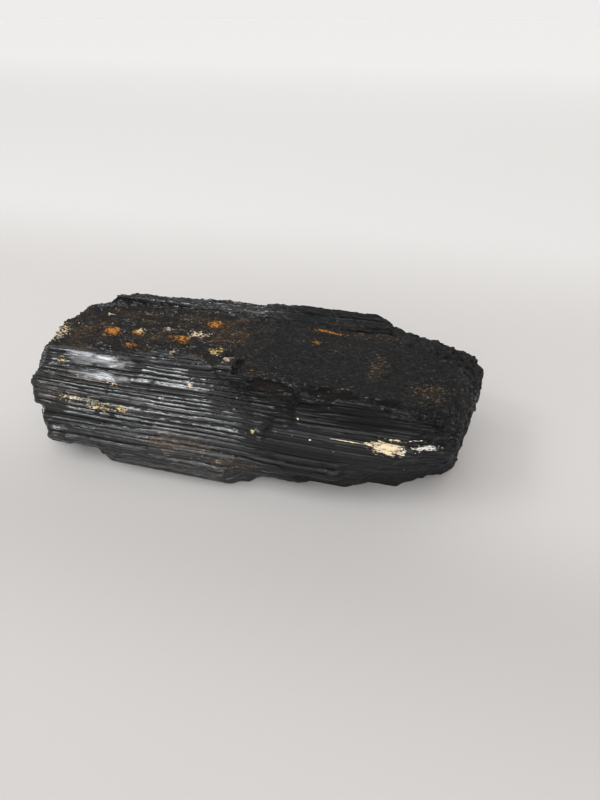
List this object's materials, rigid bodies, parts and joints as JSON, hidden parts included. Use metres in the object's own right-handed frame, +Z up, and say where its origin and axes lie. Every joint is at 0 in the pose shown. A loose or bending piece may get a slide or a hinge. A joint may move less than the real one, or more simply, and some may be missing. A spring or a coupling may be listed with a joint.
{
  "type": "tourmaline crystal",
  "caption": "Natural log of black tourmaline lying on its side: a grooved, ribbed columnar crystal broken at both ends, for display.",
  "frame": {"origin": "under the middle of the bounding box, on the surface that the crystal rests on", "axes": "+X along the crystal's long axis towards its higher, blunter end, +Y towards the back, +Z up"},
  "size_m": [0.1542, 0.0722, 0.0425],
  "materials": {
    "schorl": "near-black, glassy on the grooved faces, dull and granular on the worn and broken ones, with rusty and cream stains"
  },
  "bodies": {
    "root": {"tourmaline_crystal": "schorl"}
  },
  "joints": []
}
